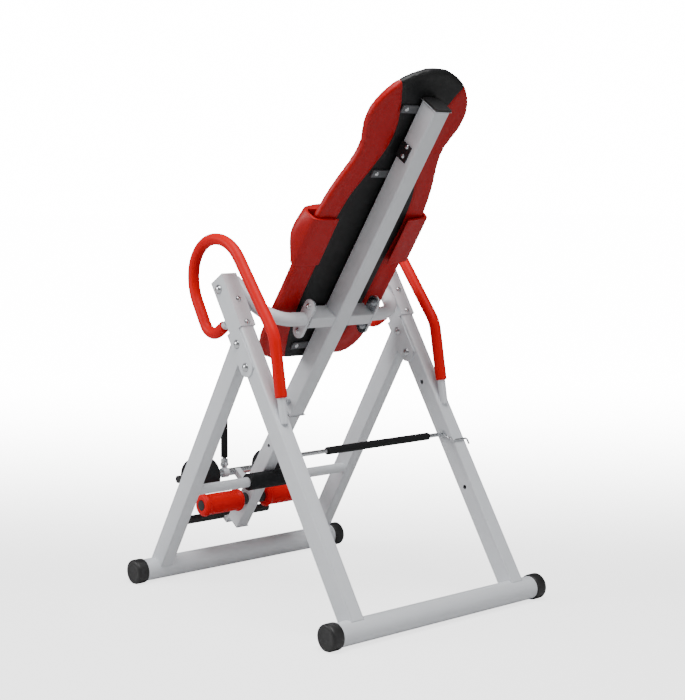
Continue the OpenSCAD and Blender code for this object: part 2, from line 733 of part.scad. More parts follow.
module ankle_bar_caps() {
  color(c_black) on_ankle() for (m = [0, 1]) mirror([m, 0, 0]) {
    xcyl(19, ankle_half, ankle_half + 5);
    xcyl(15.4, ankle_half - 14, ankle_half + e);
  }
}
lever_x = 38;
// the lever stands upright, so it is built in the object's own axes
module on_lever() {
  y = pivot_y - sin(recline) * ankle_s + cos(recline) * ankle_n;
  z = pivot_z - cos(recline) * ankle_s - sin(recline) * ankle_n;
  shifted() translate([lever_x, y, z]) children();
}
pin_h = 21;
module lever_lug() {
  color(c_frame) on_lever() difference() {
    union() {
      translate([-3, -7, 0]) cube([6, 14, pin_h]);
      translate([0, 0, pin_h]) xcyl(14, -3, 3);
      xcyl(25, -8, 8);
    }
    xcyl(19, -20, 20);
    translate([0, 0, pin_h]) xcyl(6.1, -20, 20);
  }
}
module lever_rod() {
  color(c_steel) on_lever() translate([0, 0, pin_h]) difference() {
    union() {
      for (x = [-6.5, 3.5]) {
        xcyl(13, x, x + 3);
        translate([x, -6.5, 0]) cube([3, 13, 14]);
      }
      translate([-6.5, -6.5, 11]) cube([13, 13, 4]);
      translate([0, 0, 14]) cylinder(d = 9, h = lever_len - 14);
    }
    xcyl(6.1, -20, 20);
  }
}
module lever_grip() {
  color(c_black) on_lever() translate([0, 0, pin_h]) difference() {
    union() {
      translate([0, 0, 18]) cylinder(d = 18, h = lever_len - 22);
      translate([0, 0, lever_len - 4]) cylinder(d1 = 18, d2 = 12, h = 5);
    }
    translate([0, 0, 17]) cylinder(d = 9, h = lever_len - 17);
  }
}
module lever_pin() {
  color(c_steel) on_lever() translate([0, 0, pin_h]) {
    xcyl(6, -9, 9);
    for (s = [-1, 1]) xcyl(10, s > 0 ? 6.6 : -9.5, s > 0 ? 9.5 : -6.6);
  }
}

rear_floor_tube();
rear_end_caps();
rear_leg_left();
rear_leg_right();
pivot_bracket_left();
pivot_bracket_right();
bracket_bolts();
pivot_bolts();
handle_tube_left();
handle_tube_right();
handle_grip_left();
handle_grip_right();
angle_rod();
angle_rod_foam();
rod_keeper();
front_floor_tube();
front_end_caps();
front_leg_left();
front_leg_right();
front_cross_tube();
stop_sleeve();
main_boom();
boom_end_cap();
boom_bush();
height_pin();
pin_housing();
cross_stubs();
flange_bolts();
pivot_arm_left();
pivot_arm_right();
arm_caps();
pad_straps();
board_screws();
side_bracket();
backrest_board();
backrest_centre();
backrest_side_left();
backrest_side_right();
lumbar_cushion();
lumbar_flap_left();
lumbar_flap_right();
inner_boom();
inner_end_plug();
ankle_guide();
heel_axle();
heel_spacers();
heel_roller_left();
heel_roller_right();
foot_bar();
foot_bracket();
ankle_bar();
ankle_slide_bar();
ankle_roller_left();
ankle_roller_right();
ankle_bar_caps();
lever_lug();
lever_rod();
lever_grip();
lever_pin();
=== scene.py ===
"""Looks of an inversion table: pads, foam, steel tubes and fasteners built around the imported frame."""
import json
import math

import bmesh
import bpy
import numpy as np
from mathutils import Matrix, Vector
from mathutils.bvhtree import BVHTree


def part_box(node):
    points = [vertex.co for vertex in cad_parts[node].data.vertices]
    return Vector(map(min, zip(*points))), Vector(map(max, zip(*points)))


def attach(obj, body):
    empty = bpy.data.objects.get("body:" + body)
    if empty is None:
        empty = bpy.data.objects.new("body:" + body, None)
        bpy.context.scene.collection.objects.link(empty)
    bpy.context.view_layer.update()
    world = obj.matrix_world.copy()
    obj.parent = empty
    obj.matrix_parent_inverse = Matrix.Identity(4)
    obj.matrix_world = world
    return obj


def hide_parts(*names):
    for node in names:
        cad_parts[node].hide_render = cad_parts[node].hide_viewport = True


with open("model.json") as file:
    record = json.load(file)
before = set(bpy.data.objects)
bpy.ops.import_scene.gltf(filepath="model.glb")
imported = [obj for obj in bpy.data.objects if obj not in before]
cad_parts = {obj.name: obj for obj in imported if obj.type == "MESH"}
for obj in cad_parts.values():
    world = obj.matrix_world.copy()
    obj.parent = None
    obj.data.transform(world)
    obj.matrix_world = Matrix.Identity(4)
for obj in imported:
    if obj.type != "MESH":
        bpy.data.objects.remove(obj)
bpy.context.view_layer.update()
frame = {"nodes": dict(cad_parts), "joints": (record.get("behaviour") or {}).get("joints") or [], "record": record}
MM = 0.001
JOINTS = {j["name"]: j for j in frame["joints"]}
PIVOT = Vector(JOINTS["table_tilt"]["pos_m"])
UP_BOOM = Vector(JOINTS["height_slide"]["axis"]).normalized()
BACK = Vector((0, UP_BOOM.z, -UP_BOOM.y))
SIDE = Vector((1, 0, 0))


# ---------- places ----------
def on_table(x, n, s):
    """Point at x across, n behind and s up the boom from the tilt axis, in millimetres."""
    return PIVOT + SIDE * (x * MM) + BACK * (n * MM) + UP_BOOM * (s * MM)


def middle(node):
    """Middle of a CAD node's box."""
    low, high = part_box(node)
    return (low + high) / 2


def smoothstep(t):
    t = np.clip(t, 0, 1)
    return t * t * (3 - 2 * t)


# ---------- camera, light and floor ----------
CAMERA_AT = (2.34132, 2.72883, 0.96498)
CAMERA_AZIMUTH = 138.794
CAMERA_PITCH = 6.1325
CAMERA_ROLL = 0.196
LENS_MM = 78.5
LIGHT_OF_SURROUND = 0.16
SEEN_SURROUND = 16.0
FAR_WALL = (-0.66, -0.75, 0)
# strength of the floor's glow by the object and far off, and the stretch between, in metres
FLOOR_GLOW_NEAR = 2.2
FLOOR_GLOW_FAR = 15.5
GLOW_STARTS, GLOW_ENDS = 0.0, 4.0


def make_camera():
    data = bpy.data.cameras.new("camera")
    data.sensor_fit = "VERTICAL"
    data.sensor_height = 36
    data.lens = LENS_MM
    camera = bpy.data.objects.new("camera", data)
    bpy.context.scene.collection.objects.link(camera)
    turn = Matrix.Rotation(math.radians(CAMERA_AZIMUTH), 4, "Z")
    tilt = Matrix.Rotation(math.radians(90 - CAMERA_PITCH), 4, "X")
    roll = Matrix.Rotation(math.radians(CAMERA_ROLL), 4, "Z")
    camera.matrix_world = Matrix.Translation(CAMERA_AT) @ turn @ tilt @ roll
    bpy.context.scene.camera = camera


def area_light(name, at, aim, size, watts):
    data = bpy.data.lights.new(name, "AREA")
    data.shape = "DISK"
    data.size = size
    data.energy = watts
    light = bpy.data.objects.new(name, data)
    bpy.context.scene.collection.objects.link(light)
    towards = (Vector(aim) - Vector(at)).to_track_quat("-Z", "Y")
    light.matrix_world = Matrix.Translation(at) @ towards.to_matrix().to_4x4()


def make_studio():
    """White surround that the eye sees bright, a softer white that lights, and large lamps."""
    world = bpy.data.worlds.new("studio")
    world.use_nodes = True
    tree = world.node_tree
    lit = tree.nodes["Background"]
    lit.inputs["Color"].default_value = (1, 1, 1, 1)
    lit.inputs["Strength"].default_value = LIGHT_OF_SURROUND
    seen = add(tree, "ShaderNodeBackground", {"Color": (1, 1, 1, 1), "Strength": SEEN_SURROUND})
    path = add(tree, "ShaderNodeLightPath")
    both = add(tree, "ShaderNodeMixShader", {"Fac": path.outputs["Is Camera Ray"]})
    tree.links.new(lit.outputs["Background"], both.inputs[1])
    tree.links.new(seen.outputs["Background"], both.inputs[2])
    tree.links.new(both.outputs["Shader"], tree.nodes["World Output"].inputs["Surface"])
    bpy.context.scene.world = world
    area_light("overhead", (0.6, 0.9, 3.6), (0, 0, 0.3), 2.6, 150)
    area_light("foot_end_window", (3.2, -1.8, 1.9), (0, 0, 0.7), 1.7, 85)
    area_light("head_end", (-1.2, 3.9, 1.6), (0, 0, 0.6), 2.0, 22)
    bm = bmesh.new()
    bmesh.ops.create_grid(bm, x_segments=2, y_segments=2, size=40)
    floor = from_bmesh("studio_floor", bm, MATERIALS["floor"])


# ---------- materials ----------
def linear(hex_colour):
    """An sRGB hex colour as linear RGBA."""
    rgb = [int(hex_colour[i:i + 2], 16) / 255 for i in (1, 3, 5)]
    return tuple(c / 12.92 if c <= 0.04045 else ((c + 0.055) / 1.055) ** 2.4 for c in rgb) + (1,)


def add(tree, kind, inputs=None, **settings):
    """Adds a node; inputs are values or the sockets that feed them."""
    made = tree.nodes.new(kind)
    for name, value in settings.items():
        setattr(made, name, value)
    for name, value in (inputs or {}).items():
        socket = made.inputs[name]
        if isinstance(value, bpy.types.NodeSocket):
            tree.links.new(value, socket)
        else:
            socket.default_value = value
    return made


def per_metre(size_mm):
    """Texture scale that gives a pattern of this size in millimetres."""
    return 1000 / size_mm


def new_material(name, **shader):
    """A material with its uniform values on the shader; returns it, its tree, shader and place."""
    material = bpy.data.materials.new(name)
    material.use_nodes = True
    tree = material.node_tree
    bsdf = tree.nodes["Principled BSDF"]
    for socket, value in shader.items():
        bsdf.inputs[socket.replace("_", " ")].default_value = value
    place = add(tree, "ShaderNodeTexCoord").outputs["Object"]
    return material, tree, bsdf, place


def mottle(tree, bsdf, place, hexes, patch_mm, detail=3):
    """Base colour that drifts between two close tones over patches of this size."""
    drift = add(tree, "ShaderNodeTexNoise", {"Vector": place, "Scale": per_metre(patch_mm), "Detail": detail})
    tone = add(tree, "ShaderNodeMix", {"Factor": drift.outputs["Fac"]}, data_type="RGBA")
    tone.inputs["A"].default_value = linear(hexes[0])
    tone.inputs["B"].default_value = linear(hexes[1])
    tree.links.new(tone.outputs["Result"], bsdf.inputs["Base Color"])
    return tone.outputs["Result"]


def uneven_gloss(tree, bsdf, place, low, high, patch_mm):
    """Roughness that wanders between low and high."""
    haze = add(tree, "ShaderNodeTexNoise", {"Vector": place, "Scale": per_metre(patch_mm), "Detail": 4})
    spread = add(tree, "ShaderNodeMapRange", {"Value": haze.outputs["Fac"], "From Min": 0.3,
                                              "From Max": 0.7, "To Min": low, "To Max": high})
    tree.links.new(spread.outputs["Result"], bsdf.inputs["Roughness"])


def bump(tree, bsdf, height, depth_mm, strength=1.0, below=None):
    """Raises the surface by height times depth, on top of another bump where one is given."""
    inputs = {"Height": height, "Distance": depth_mm * MM, "Strength": strength}
    if below is not None:
        inputs["Normal"] = below
    made = add(tree, "ShaderNodeBump", inputs)
    tree.links.new(made.outputs["Normal"], bsdf.inputs["Normal"])
    return made.outputs["Normal"]


def powder_coated_steel():
    """Powder coat, sprayed and baked: an even pale silver skin with faint orange peel."""
    material, tree, bsdf, place = new_material("powder_coated_steel", Metallic=0.0, IOR=1.5,
                                               Coat_Weight=0.25, Coat_Roughness=0.25)
    mottle(tree, bsdf, place, ("#d6d9de", "#dee1e5"), 60)
    uneven_gloss(tree, bsdf, place, 0.34, 0.46, 25)
    # peel is about 1 mm across; drawn at 2.5 mm so that it shows
    peel = add(tree, "ShaderNodeTexNoise", {"Vector": place, "Scale": per_metre(2.5), "Detail": 2})
    bump(tree, bsdf, peel.outputs["Fac"], 0.06, 0.5)
    return material


def zinc_plated_steel():
    """Bright zinc plate on turned and headed steel: silvery, with soft turning marks."""
    material, tree, bsdf, place = new_material("zinc_plated_steel", Metallic=1.0)
    mottle(tree, bsdf, place, ("#c2c5c9", "#d6d8da"), 6)
    uneven_gloss(tree, bsdf, place, 0.2, 0.36, 4)
    marks = add(tree, "ShaderNodeTexNoise", {"Vector": place, "Scale": per_metre(0.9), "Detail": 3})
    bump(tree, bsdf, marks.outputs["Fac"], 0.03, 0.5)
    return material


def moulded_polypropylene():
    """Black polypropylene from a spark-eroded mould: fine even grain with a dull shine."""
    material, tree, bsdf, place = new_material("moulded_polypropylene", IOR=1.49)
    mottle(tree, bsdf, place, ("#161617", "#1c1c1d"), 12)
    uneven_gloss(tree, bsdf, place, 0.42, 0.56, 10)
    # mould grain is about 0.4 mm; drawn at 1.2 mm
    grain = add(tree, "ShaderNodeTexNoise", {"Vector": place, "Scale": per_metre(1.2), "Detail": 3})
    bump(tree, bsdf, grain.outputs["Fac"], 0.08, 0.6)
    return material


def nitrile_foam(name, hexes, gloss):
    """Extruded nitrile foam with its skin: soft, faintly pitted where cells open."""
    material, tree, bsdf, place = new_material(name, IOR=1.5)
    bsdf.inputs["Specular IOR Level"].default_value = 0.15
    mottle(tree, bsdf, place, hexes, 14)
    uneven_gloss(tree, bsdf, place, gloss[0], gloss[1], 12)
    # cells are about 0.3 mm; drawn at 1.4 mm
    cells = add(tree, "ShaderNodeTexVoronoi", {"Vector": place, "Scale": per_metre(1.4)},
                feature="SMOOTH_F1")
    skin = bump(tree, bsdf, cells.outputs["Distance"], 0.12, 0.35)
    drag = add(tree, "ShaderNodeTexNoise", {"Vector": place, "Scale": per_metre(18), "Detail": 2})
    bump(tree, bsdf, drag.outputs["Fac"], 0.5, 0.3, skin)
    return material


def coated_vinyl(name, hexes, gloss):
    """Calendered PVC cloth over foam: pebbled leather grain with painted shade in its valleys, satin, with slight
    pull marks.
    """
    material, tree, bsdf, place = new_material(name, IOR=1.5)
    bsdf.inputs["Specular IOR Level"].default_value = 0.3
    wander = add(tree, "ShaderNodeTexNoise", {"Vector": place, "Scale": per_metre(9), "Detail": 2})
    bent = add(tree, "ShaderNodeVectorMath", {0: wander.outputs["Color"], 1: (0.002, 0.002, 0.002),
                                              2: place}, operation="MULTIPLY_ADD")
    # pebbles are about 0.8 mm; drawn at 1.8 mm
    pebble = add(tree, "ShaderNodeTexVoronoi", {"Vector": bent.outputs["Vector"], "Scale": per_metre(1.8)},
                 feature="DISTANCE_TO_EDGE")
    crease = add(tree, "ShaderNodeMapRange", {"Value": pebble.outputs["Distance"], "From Min": 0.0,
                                              "From Max": 0.25, "To Min": 0.0, "To Max": 1.0})
    drift = add(tree, "ShaderNodeTexNoise", {"Vector": place, "Scale": per_metre(45), "Detail": 3})
    tone = add(tree, "ShaderNodeMix", {"Factor": drift.outputs["Fac"]}, data_type="RGBA")
    tone.inputs["A"].default_value = linear(hexes[0])
    tone.inputs["B"].default_value = linear(hexes[1])
    # painted shade: the valleys between the pebbles take the darker third tone
    valley_shade = add(tree, "ShaderNodeMix", {"Factor": crease.outputs["Result"],
                                       "B": tone.outputs["Result"]}, data_type="RGBA")
    valley_shade.inputs["A"].default_value = linear(hexes[2])
    tree.links.new(valley_shade.outputs["Result"], bsdf.inputs["Base Color"])
    uneven_gloss(tree, bsdf, place, gloss[0], gloss[1], 20)
    grain = bump(tree, bsdf, crease.outputs["Result"], 0.1, 0.45)
    pull = add(tree, "ShaderNodeTexNoise", {"Vector": place, "Scale": per_metre(70), "Detail": 2})
    bump(tree, bsdf, pull.outputs["Fac"], 2.0, 0.35, grain)
    return material


def birch_plywood():
    """Rotary-cut birch ply, sanded: pale, with long soft grain along the board."""
    material, tree, bsdf, place = new_material("birch_plywood", IOR=1.5)
    long_way = add(tree, "ShaderNodeMapping", {"Vector": place, "Scale": (1, 0.08, 0.08)})
    grain = add(tree, "ShaderNodeTexNoise", {"Vector": long_way.outputs["Vector"],
                                             "Scale": per_metre(4), "Detail": 6})
    tone = add(tree, "ShaderNodeMix", {"Factor": grain.outputs["Fac"]}, data_type="RGBA")
    tone.inputs["A"].default_value = linear("#c79a63")
    tone.inputs["B"].default_value = linear("#e2c292")
    tree.links.new(tone.outputs["Result"], bsdf.inputs["Base Color"])
    uneven_gloss(tree, bsdf, place, 0.55, 0.7, 20)
    bump(tree, bsdf, grain.outputs["Fac"], 0.1, 0.5)
    return material


def bonded_thread(name, hex_colour):
    """Bonded nylon thread: round, tight and slightly shiny."""
    material, tree, bsdf, place = new_material(name, IOR=1.53, Roughness=0.45)
    deep = "#{:02x}{:02x}{:02x}".format(*(int(int(hex_colour[i:i + 2], 16) * 0.8) for i in (1, 3, 5)))
    mottle(tree, bsdf, place, (deep, hex_colour), 1.0)
    twist = add(tree, "ShaderNodeTexNoise", {"Vector": place, "Scale": per_metre(0.8), "Detail": 2})
    bump(tree, bsdf, twist.outputs["Fac"], 0.05, 0.5)
    return material


def studio_floor():
    """Matt pale grey board; only the camera sees its glow, which grows until the surround melts away."""
    material, tree, bsdf, place = new_material("painted_floor", IOR=1.4, Roughness=0.75)
    bsdf.inputs["Specular IOR Level"].default_value = 0.2
    mottle(tree, bsdf, place, ("#cfcfcf", "#d1d1d1"), 900, 1)
    bsdf.inputs["Emission Color"].default_value = (1, 1, 1, 1)
    away = add(tree, "ShaderNodeVectorMath", {0: place, 1: FAR_WALL}, operation="DOT_PRODUCT")
    glow = add(tree, "ShaderNodeMapRange", {"Value": away.outputs["Value"],
                                            "From Min": GLOW_STARTS, "From Max": GLOW_ENDS,
                                            "To Min": FLOOR_GLOW_NEAR, "To Max": FLOOR_GLOW_FAR},
               interpolation_type="SMOOTHSTEP")
    path = add(tree, "ShaderNodeLightPath")
    seen = add(tree, "ShaderNodeMath", {0: glow.outputs["Result"], 1: path.outputs["Is Camera Ray"]},
               operation="MULTIPLY")
    tree.links.new(seen.outputs["Value"], bsdf.inputs["Emission Strength"])
    return material


def shaded_strap_paint():
    """Painted shade: a dark grey for the small straps, frame steel that lies in shade behind the pad; thin, smooth
    and a little shiny.
    """
    material, tree, bsdf, place = new_material("shaded_strap_paint", IOR=1.5)
    mottle(tree, bsdf, place, ("#55575a", "#5f6164"), 20)
    uneven_gloss(tree, bsdf, place, 0.35, 0.45, 12)
    flow = add(tree, "ShaderNodeTexNoise", {"Vector": place, "Scale": per_metre(3), "Detail": 2})
    bump(tree, bsdf, flow.outputs["Fac"], 0.04, 0.4)
    return material


MATERIALS = {
    "frame_paint": powder_coated_steel(),
    "zinc_steel": zinc_plated_steel(),
    "black_plastic": moulded_polypropylene(),
    "red_foam": nitrile_foam("red_nitrile_foam", ("#cf0208", "#db040b"), (0.4, 0.5)),
    "black_foam": nitrile_foam("black_nitrile_foam", ("#17181a", "#1f2022"), (0.5, 0.65)),
    # the third tone of each vinyl is painted shade in the grain's valleys
    "red_vinyl": coated_vinyl("red_coated_vinyl", ("#b40204", "#c00406", "#960103"), (0.38, 0.5)),
    "black_vinyl": coated_vinyl("black_coated_vinyl", ("#141516", "#191a1b", "#0d0e0f"), (0.4, 0.52)),
    "plywood": birch_plywood(),
    "red_thread": bonded_thread("red_thread", "#b01418"),
    # painted shade: dark grey for frame-steel straps that lie in shade
    "strap_painted_shade": shaded_strap_paint(),
    "floor": studio_floor(),
}
SLOT_OF = {p["node"]: p["material_slot"] for p in frame["record"]["subparts"]}
BODY_OF = {n: b for b, names in frame["record"]["behaviour"]["bodies"].items() for n in names}


# ---------- mesh helpers ----------
def from_bmesh(name, bm, material, smooth_angle=40):
    mesh = bpy.data.meshes.new(name)
    bm.to_mesh(mesh)
    bm.free()
    return from_mesh(name, mesh, material, smooth_angle)


def from_mesh(name, mesh, material, smooth_angle=40):
    mesh.shade_smooth()
    mesh.set_sharp_from_angle(angle=math.radians(smooth_angle))
    mesh.materials.clear()
    mesh.materials.append(material)
    made = bpy.data.objects.new(name, mesh)
    bpy.context.scene.collection.objects.link(made)
    return made


def settle(piece, body, slot, *nodes):
    """Rides the piece on its body and hides the CAD nodes it stands for; the slot is not used."""
    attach(piece, body)
    if nodes:
        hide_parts(*nodes)
    return piece


def evaluated(piece, name, material, smooth_angle=40):
    """The piece with its modifiers applied, as a new plain mesh; the old object is removed."""
    bpy.context.view_layer.update()
    graph = bpy.context.evaluated_depsgraph_get()
    mesh = bpy.data.meshes.new_from_object(piece.evaluated_get(graph))
    bpy.data.objects.remove(piece)
    return from_mesh(name, mesh, material, smooth_angle)


def loft(rings, closed_path=False):
    """Quads between rings of equal length; open ends get a cap."""
    bm = bmesh.new()
    rows = [[bm.verts.new(p) for p in ring] for ring in rings]
    count = len(rows)
    for i in range(count if closed_path else count - 1):
        a, b = rows[i], rows[(i + 1) % count]
        for k in range(len(a)):
            m = (k + 1) % len(a)
            bm.faces.new((a[k], a[m], b[m], b[k]))
    if not closed_path:
        bm.faces.new(rows[0][::-1])
        bm.faces.new(rows[-1])
    bmesh.ops.recalc_face_normals(bm, faces=bm.faces)
    return bm


def lathe(name, profile, origin, axis, material, sides=64):
    """Turns a profile of (along, radius) in millimetres about an axis."""
    axis = Vector(axis).normalized()
    across = axis.orthogonal().normalized()
    other = axis.cross(across)
    rings = []
    for along, radius in profile:
        centre = Vector(origin) + axis * along * MM
        rings.append([centre + (across * math.cos(t) + other * math.sin(t)) * max(radius, 0.05) * MM
                      for t in (2 * math.pi * k / sides for k in range(sides))])
    return from_bmesh(name, loft(rings), material, 35)


def mirrored(profile, length):
    """The profile followed by its mirror image, for a piece of this length."""
    return profile + [(length - along, radius) for along, radius in profile[::-1]]


def clean_copy(node):
    """Merged copy of a CAD node's mesh with flat faces joined."""
    bm = bmesh.new()
    bm.from_mesh(frame["nodes"][node].data)
    bmesh.ops.remove_doubles(bm, verts=bm.verts, dist=0.00002)
    bmesh.ops.dissolve_limit(bm, angle_limit=math.radians(0.6), verts=bm.verts, edges=bm.edges,
                             delimit={"NORMAL"})
    return bm


def soften(node, radius_mm, shortest_mm=0.0, segments=3):
    """Replaces a CAD node by a copy whose long outer corners are rounded as drawn tube is."""
    bm = clean_copy(node)
    sharp = math.radians(60)
    chosen = [e for e in bm.edges if len(e.link_faces) == 2 and e.calc_face_angle_signed(0) > sharp
              and e.calc_length() > shortest_mm * MM]
    if chosen:
        bmesh.ops.bevel(bm, geom=chosen, offset=radius_mm * MM, segments=segments, profile=0.5,
                        affect="EDGES", clamp_overlap=shortest_mm == 0)
    slot = SLOT_OF[node]
    piece = from_bmesh("soft_edged_" + node, bm, MATERIALS[slot], 35)
    return settle(piece, BODY_OF[node], slot, node)


def coat_faces(piece, low_mm, high_mm, finish):
    """Another finish for the faces whose middles lie between two distances from the middle plane."""
    piece.data.materials.append(MATERIALS[finish])
    for face in piece.data.polygons:
        if low_mm * MM < abs(face.center.x) < high_mm * MM:
            face.material_index = 1


# ---------- smooth paths for bent tube ----------
def filleted(points, radii, step_mm=6):
    """Points along a plane path of straight runs and tangent bends, in millimetres."""
    points = [Vector(p) for p in points]
    path = [points[0]]
    for before, corner, after, radius in zip(points, points[1:], points[2:], radii):
        into = (corner - before).normalized()
        out = (after - corner).normalized()
        half = into.angle(out) / 2
        reach = radius * math.tan(half)
        centre = corner + (out - into).normalized() * (radius / math.cos(half))
        start, end = corner - into * reach, corner + out * reach
        a, b = (start - centre).normalized(), (end - centre).normalized()
        steps = max(2, int(radius * 2 * half / step_mm))
        path += [centre + a.slerp(b, k / steps) * radius for k in range(steps + 1)]
    return path + [points[-1]]


def spaced(path, step):
    """The same path with points at an even spacing."""
    lengths = [0.0]
    for a, b in zip(path, path[1:]):
        lengths.append(lengths[-1] + (b - a).length)
    count = max(2, round(lengths[-1] / step))
    arr = np.array(path)
    at = np.linspace(0, lengths[-1], count + 1)
    return [Vector([np.interp(t, lengths, arr[:, i]) for i in range(3)]) for t in at]


def sweep(name, path, radius_at, across, material, sides=40):
    """Round section along a path that lies in the plane normal to across; radii in metres."""
    rings = []
    for i, p in enumerate(path):
        tangent = (path[min(i + 1, len(path) - 1)] - path[max(i - 1, 0)]).normalized()
        other = tangent.cross(across).normalized()
        r = radius_at(i)
        rings.append([p + (across * math.cos(t) + other * math.sin(t)) * r
                      for t in (2 * math.pi * k / sides for k in range(sides))])
    return from_bmesh(name, loft(rings), material, 50)


# ---------- handles ----------
HANDLE_FROM_PIVOT = [(31.4, -62), (-61.1, -120.5), (-126.6, -9), (-126.6, 113), (17.1, 113),
                     (175.3, -91.4), (210.4, -286)]
HANDLE_BENDS = [38, 110, 88, 106, 80]
HANDLE_RADIUS = 9.5 * MM
GRIP_RADIUS = 13.5 * MM
GRIP_START = (-5.6, -85.4)
GRIP_END = (200.3, -230)


def handle_path(x, start, end):
    corners = [start] + HANDLE_FROM_PIVOT[1:-1] + [end]
    path = filleted([(0, y, z) for y, z in corners], HANDLE_BENDS)
    return spaced([Vector((x, PIVOT.y + p.y * MM, PIVOT.z + p.z * MM)) for p in path], 5 * MM)


def rolled_end(index, count, radius, ends=(0.62, 0.84, 0.95)):
    """Radius that rounds off the first and last few rings of a sleeve."""
    near = min(index, count - 1 - index)
    return radius * ends[near] if near < len(ends) else radius


def rim_spaced(path, gaps=(0.0008, 0.0014, 0.002)):
    """Adds close rings at both ends so that a sleeve's rims can be rounded."""
    def close(a, b):
        way = (b - a).normalized()
        return [a] + [a + way * g for g in gaps]
    return close(path[0], path[1]) + path[1:-1] + close(path[-1], path[-2])[::-1]


def make_handles():
    for side, sx in (("left", 1), ("right", -1)):
        x = middle("handle_grip_" + side).x
        tube = handle_path(x, (31.4 - 26, -62 - 16.4), HANDLE_FROM_PIVOT[-1])
        piece = sweep("handle_steel_" + side, tube, lambda i: HANDLE_RADIUS, SIDE,
                      MATERIALS["frame_paint"], 32)
        settle(piece, "rear_frame", "frame_paint", "handle_tube_" + side)
        grip = rim_spaced(handle_path(x, GRIP_START, GRIP_END))
        count = len(grip)
        piece = sweep("handle_foam_" + side, grip, lambda i: rolled_end(i, count, GRIP_RADIUS),
                      SIDE, MATERIALS["red_foam"], 48)
        settle(piece, "rear_frame", "red_foam", "handle_grip_" + side)


# ---------- backrest ----------
PAD_BACK = 89.5
PAD_MID_THICK = 46.0
PAD_EDGE_THICK = 21.0
# half width of the pad at places up the boom
PAD_OUTLINE = [(-155, 96), (-147, 121), (-129, 144), (-103, 158), (-60, 164), (60, 165), (262, 165),
               (293, 161), (322, 156), (351, 149), (380, 140), (408, 131), (430, 127), (450, 126),
               (470, 130), (490, 137), (512, 142.5), (532, 144), (552, 140), (575, 129), (598, 112),
               (617, 91), (633, 62), (643, 36)]
PAD_CENTRE = np.array([0, 240.0])
# how far the uninflated cover lies inside the outline
COVER_SLACK = 2.2
# depth behind the tilt axis and inset of each ring of the plywood
BOARD_LAYERS = ((83, 31), (82, 30), (73, 30), (72, 31))
# half width of the black middle panel on the back
BAND_OUTLINE = [(-160, 64), (-60, 92), (15, 100), (134, 102), (262, 105), (320, 96), (390, 70),
                (456, 51), (500, 52), (545, 65), (590, 84), (616, 97), (640, 112), (660, 125)]


def smooth_curve(table, s):
    """Cubic through the table's points, without overshoot at the ends."""
    xs, ys = np.array(table, float).T
    slopes = np.gradient(ys, xs)
    s = np.clip(np.asarray(s, float), xs[0], xs[-1])
    i = np.clip(np.searchsorted(xs, s) - 1, 0, len(xs) - 2)
    h = xs[i + 1] - xs[i]
    t = (s - xs[i]) / h
    a, b = ys[i], ys[i + 1]
    return ((2 * t ** 3 - 3 * t ** 2 + 1) * a + (t ** 3 - 2 * t ** 2 + t) * h * slopes[i]
            + (3 * t ** 2 - 2 * t ** 3) * b + (t ** 3 - t ** 2) * h * slopes[i + 1])


def pad_loop():
    """The pad's outline as (x, s), counter-clockwise from the lower right."""
    rows = np.concatenate([np.arange(-151, 642, 6.0), [642]])
    half = smooth_curve(PAD_OUTLINE, rows)
    right = list(zip(half, rows))
    crown = [(35 * math.cos(t), 642 + 5 * math.sin(t)) for t in np.linspace(0.3, math.pi - 0.3, 9)]
    left = [(-x, s) for x, s in right[::-1]]
    base = [(x, -151 - 2.5 * math.sin(math.pi * (x + 96) / 192)) for x in np.linspace(-80, 80, 17)]
    return right + crown + left + base


def voxelled(piece, name, size_mm, smooth=0):
    """Even closed quads over the piece's shape."""
    remesh = piece.modifiers.new("even_quads", "REMESH")
    remesh.mode = "VOXEL"
    remesh.voxel_size = size_mm * MM
    if smooth:
        relax = piece.modifiers.new("relax", "SMOOTH")
        relax.iterations = smooth
        relax.factor = 0.5
    return evaluated(piece, name, MATERIALS["red_vinyl"])


def vertex_array(mesh):
    co = np.empty(len(mesh.vertices) * 3, np.float32)
    mesh.vertices.foreach_get("co", co)
    return co.reshape(-1, 3).astype(float)


def set_vertices(mesh, co):
    mesh.vertices.foreach_set("co", np.asarray(co, np.float32).ravel())
    mesh.update()


def table_coords(co):
    """Columns x, n, s in millimetres of points in the row frame."""
    away = (co - np.array(PIVOT)) / MM
    return away[:, 0], away @ np.array(BACK), away @ np.array(UP_BOOM)


def row_coords(x, n, s):
    return (np.array(PIVOT) + MM * (np.outer(x, SIDE) + np.outer(n, BACK) + np.outer(s, UP_BOOM)))


def inflate(piece, pressure, cap_mm, pinned, frames=20):
    """Cloth under pressure with gravity off, its travel capped, applied to the mesh."""
    start = vertex_array(piece.data)
    group = piece.vertex_groups.new(name="held")
    for index in np.flatnonzero(pinned):
        group.add([int(index)], 1.0, "REPLACE")
    cloth = piece.modifiers.new("stuffing", "CLOTH")
    cloth.settings.use_pressure = True
    cloth.settings.uniform_pressure_force = pressure
    cloth.settings.effector_weights.gravity = 0
    cloth.settings.vertex_group_mass = "held"
    cloth.settings.quality = 5
    cloth.settings.tension_stiffness = 18
    cloth.settings.compression_stiffness = 18
    cloth.settings.bending_stiffness = 1.5
    cloth.collision_settings.use_collision = False
    cloth.point_cache.frame_end = frames
    scene = bpy.context.scene
    for f in range(1, frames + 1):
        scene.frame_set(f)
    graph = bpy.context.evaluated_depsgraph_get()
    done = vertex_array(piece.evaluated_get(graph).data)
    piece.modifiers.remove(cloth)
    scene.frame_set(1)
    move = done - start
    far = np.linalg.norm(move, axis=1)
    limit = cap_mm * MM
    scale = np.where(far > 1e-9, limit * np.tanh(far / limit) / np.maximum(far, 1e-9), 0)
    set_vertices(piece.data, start + move * scale[:, None])
    piece.vertex_groups.clear()


